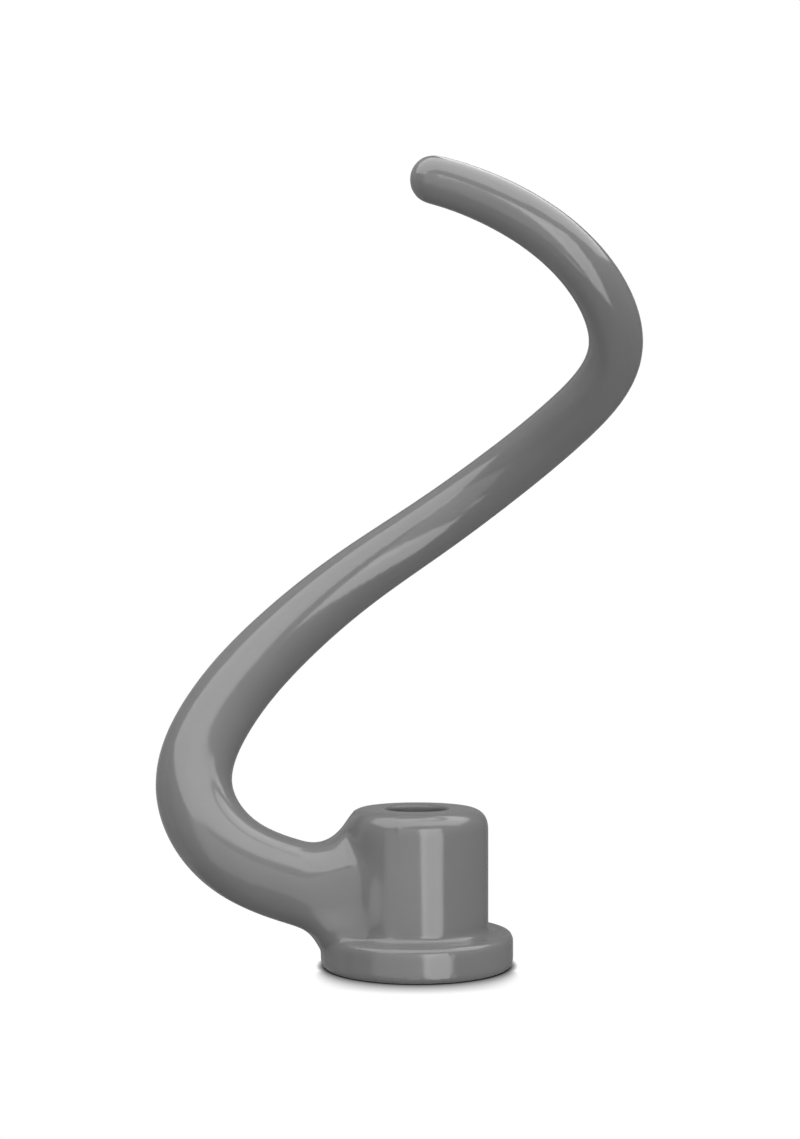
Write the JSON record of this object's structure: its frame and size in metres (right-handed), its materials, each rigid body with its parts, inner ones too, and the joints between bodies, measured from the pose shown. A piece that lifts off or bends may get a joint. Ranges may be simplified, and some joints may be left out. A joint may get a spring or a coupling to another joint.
{
  "type": "stand mixer dough hook",
  "caption": "One-piece spiral dough hook: a tapered round arm winds from a flanged hub with a shaft bore and a J-shaped pin slot up to a rounded tip.",
  "frame": {"origin": "middle of the flange's resting face, on the axis of the shaft bore", "axes": "+Z along the shaft bore, from the flange up to the tip of the arm; the arm leaves the hub towards -X; +Y is behind the hook as pictured"},
  "size_m": [0.1072, 0.0657, 0.1716],
  "materials": {
    "coated_casting": "satin"
  },
  "bodies": {
    "root": {"dough_hook": "coated_casting"}
  },
  "joints": []
}
